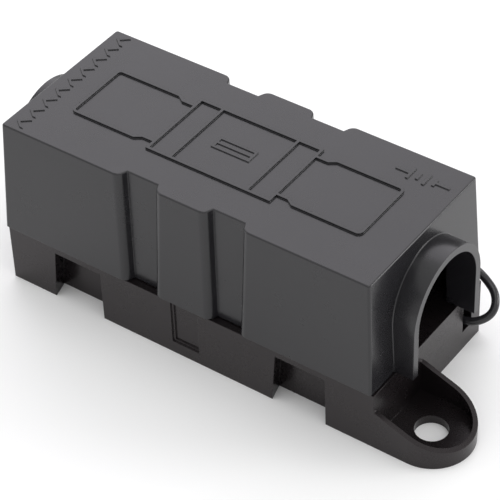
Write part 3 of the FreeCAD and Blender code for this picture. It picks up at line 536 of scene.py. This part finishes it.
class FUSEHOLDER_OT_terminals(bpy.types.Operator):
    """Build the studs with true helical threads and finish the washers and nuts as plated steel"""

    bl_idname = "fuseholder.terminals"
    bl_label = "Build terminals"

    def execute(self, context):
        look = context.scene.fuseholder_terminals
        zinc = look.zinc_colour
        studs = [self.stud("stud_far", -STUD_X, look), self.stud("stud_near", STUD_X, look)]
        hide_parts("terminal_studs")
        for stud in studs:
            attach(stud, "base")
        dress(["stud_far", "stud_near"], bright_metal("stud zinc", zinc, 0.30, (1.0, 1.0, 0.08)))
        dress(["nut_far", "nut_near"], bright_metal("nut zinc", zinc, 0.26, (0.1, 1.2, 1.2)))
        dress(["flat_washers"], bright_metal("washer zinc", zinc, 0.34, (0.15, 1.5, 1.0)))
        dress(["spring_washer_far", "spring_washer_near"],
              bright_metal("spring steel", shade(zinc, 0.72), 0.36, (1.0, 1.0, 0.3)))
        return {"FINISHED"}

    def stud(self, name, x, look):
        """A stud as one surface of rings about its axis. The head's rings are hexagons with a small bevel,
        the plain shank's are circles, and a threaded ring's radius dips by the thread's depth, in a rounded
        vee, where its height over the pitch, less the turn, is half way between whole numbers. The thread
        grows in over its first pitch and is cut down to a bevel at the top."""
        pitch, depth, shank = look.thread_pitch, look.thread_depth, look.stud_radius
        low, top = STUDS_LOW.z, STUDS_HIGH.z
        shoulder = low + look.head_height
        bevel, bottom_edge, top_edge = 0.35 * MM, 0.93, 0.95
        centre, crest_step = 0.02 * MM, 0.1 * MM

        turn = np.linspace(0, 2 * np.pi, look.turn_steps, endpoint=False)
        from_flat = turn % (np.pi / 3) - np.pi / 6
        hexagon = (STUDS_HIGH.y - STUDS_LOW.y) / 2 / np.cos(from_flat)
        circle = np.ones(look.turn_steps)

        heights = np.arange(THREAD_START, top, pitch / look.pitch_steps)
        phase = (heights[:, None] / pitch - turn / (2 * np.pi)) % 1.0
        vee = np.clip(1.3 - 3.0 * np.abs(phase - 0.5), 0.0, 1.0)
        vee = vee * vee * (3 - 2 * vee)
        run_in = np.clip((heights - THREAD_START) / pitch, 0.0, 1.0)[:, None]
        top_bevel = (shank - 1.15 * depth + top - heights)[:, None]
        thread = np.minimum(shank - depth * vee * run_in, top_bevel)

        head_z = [low, low, low + bevel, shoulder - bevel, shoulder, shoulder, THREAD_START]
        head = [circle * centre, hexagon * bottom_edge, hexagon, hexagon, hexagon * top_edge,
                circle * shank, circle * shank]
        z = np.concatenate([head_z, heights[1:], [top, top]])
        radius = np.concatenate([head, thread[1:], [thread[-1] - crest_step, circle * centre]])
        level = np.repeat(z[:, None], look.turn_steps, axis=1)
        points = np.stack([x + radius * np.cos(turn), radius * np.sin(turn), level], -1)
        made = surface(name, points, closed=True, caps=((0, True), (-1, False)))
        made.data.set_sharp_from_angle(angle=SHARP_ANGLE)
        return made


class FUSEHOLDER_OT_fuse(bpy.types.Operator):
    """Finish the strip fuse: tinned strip, matt case and brass pins"""

    bl_idname = "fuseholder.fuse"
    bl_label = "Finish fuse"

    def execute(self, context):
        look = context.scene.fuseholder_fuse
        dress(["fuse_element"], tinned_strip("tinned strip", look.tin_colour))
        dress(["fuse_case_lower", "fuse_case_upper"], case_plastic("case plastic", look.case_colour))
        dress(["fuse_pins"], bright_metal("pin brass", look.brass_colour, 0.32, (1.0, 1.0, 0.2)))
        return {"FINISHED"}


class FUSEHOLDER_OT_stage(bpy.types.Operator):
    """Set the pale floor, the soft lamps and the camera"""

    bl_idname = "fuseholder.stage"
    bl_label = "Set stage"

    def execute(self, context):
        look = context.scene.fuseholder_stage
        self.floor(look)
        self.lamps(context.scene, look)
        self.camera(context.scene, look)
        context.scene.view_settings.view_transform = "Standard"
        return {"FINISHED"}

    def floor(self, look):
        """A level square, six metres wide, a hair under the holder."""
        edges = np.array([-3.0, 3.0])
        x, y = np.meshgrid(edges, edges)
        points = np.stack([x, y, np.full_like(x, FLOOR_Z - 0.05 * MM)], -1)
        ground = surface("floor", points, smooth=False)
        dress(["floor"], satin_floor("floor paint", look.floor_colour))

    # The soft panels: name, place, side, power in watts and colour.
    PANELS = (
        ("back panel", (-0.50, 0.66, 0.72), 0.90, 2.9, (0.96, 0.92, 1.0)),
        ("roof panel", (0.10, 0.05, 1.10), 0.60, 2.0, WHITE),
        ("end panel", (0.80, 0.60, 0.35), 0.40, 3.0, WHITE),
        ("side panel", (-0.85, -0.60, 0.30), 0.30, 0.8, WHITE),
    )

    def lamps(self, scene, look):
        """A white room and the soft panels, all facing the middle of the holder."""
        world = bpy.data.worlds.new("white room")
        scene.world = world
        world.use_nodes = True
        sky = world.node_tree.nodes["Background"]
        sky.inputs["Color"].default_value = (*WHITE, 1.0)
        sky.inputs["Strength"].default_value = look.room_light
        for name, place, size, power, tint in self.PANELS:
            light = bpy.data.lights.new(name, "AREA")
            light.shape = "SQUARE"
            light.size = size
            light.energy = power
            light.color = tint
            lamp = bpy.data.objects.new(name, light)
            lamp.location = place
            away = Vector(place) - Vector((0, 0, HALF_HEIGHT))
            lamp.rotation_euler = away.to_track_quat("Z", "Y").to_euler()
            scene.collection.objects.link(lamp)

    def camera(self, scene, look):
        """Stands back from the aim by the distance, at the azimuth and elevation, and rolls a little."""
        flat = math.cos(look.elevation)
        back = Vector((math.sin(look.azimuth) * flat, -math.cos(look.azimuth) * flat,
                       math.sin(look.elevation)))
        data = bpy.data.cameras.new("camera")
        data.lens = look.lens
        data.sensor_width = 36.0
        data.clip_start, data.clip_end = 0.01, 20.0
        eye = bpy.data.objects.new("camera", data)
        turn = back.to_track_quat("Z", "Y").to_matrix() @ Matrix.Rotation(look.roll, 3, "Z")
        eye.matrix_world = Matrix.Translation(Vector(look.aim) + back * look.distance) @ turn.to_4x4()
        scene.collection.objects.link(eye)
        scene.camera = eye


class FUSEHOLDER_PT_panel(bpy.types.Panel):
    """Lists the steps that finish the holder"""

    bl_label = "Fuse holder"
    bl_idname = "FUSEHOLDER_PT_panel"
    bl_space_type = "VIEW_3D"
    bl_region_type = "UI"
    bl_category = "Fuse holder"

    def draw(self, context):
        for step in STEPS:
            self.layout.operator(step.bl_idname)
        for group in GROUPS:
            settings = getattr(context.scene, group)
            for name in settings.bl_rna.properties.keys():
                if name not in ("rna_type", "name"):
                    self.layout.prop(settings, name)


GROUPS = {
    "fuseholder_moulding": MouldingSettings,
    "fuseholder_tether": TetherSettings,
    "fuseholder_terminals": TerminalSettings,
    "fuseholder_fuse": FuseSettings,
    "fuseholder_stage": StageSettings,
}
STEPS = (FUSEHOLDER_OT_moulding, FUSEHOLDER_OT_tether, FUSEHOLDER_OT_terminals, FUSEHOLDER_OT_fuse,
         FUSEHOLDER_OT_stage)


def register():
    for group in GROUPS.values():
        bpy.utils.register_class(group)
    for name, group in GROUPS.items():
        setattr(bpy.types.Scene, name, bpy.props.PointerProperty(type=group))
    for step in STEPS:
        bpy.utils.register_class(step)
    bpy.utils.register_class(FUSEHOLDER_PT_panel)


def unregister():
    bpy.utils.unregister_class(FUSEHOLDER_PT_panel)
    for step in reversed(STEPS):
        bpy.utils.unregister_class(step)
    for name in GROUPS:
        delattr(bpy.types.Scene, name)
    for group in GROUPS.values():
        bpy.utils.unregister_class(group)


def main():
    register()
    bpy.ops.fuseholder.moulding()
    bpy.ops.fuseholder.tether()
    bpy.ops.fuseholder.terminals()
    bpy.ops.fuseholder.fuse()
    bpy.ops.fuseholder.stage()


if __name__ == "__main__":
    main()
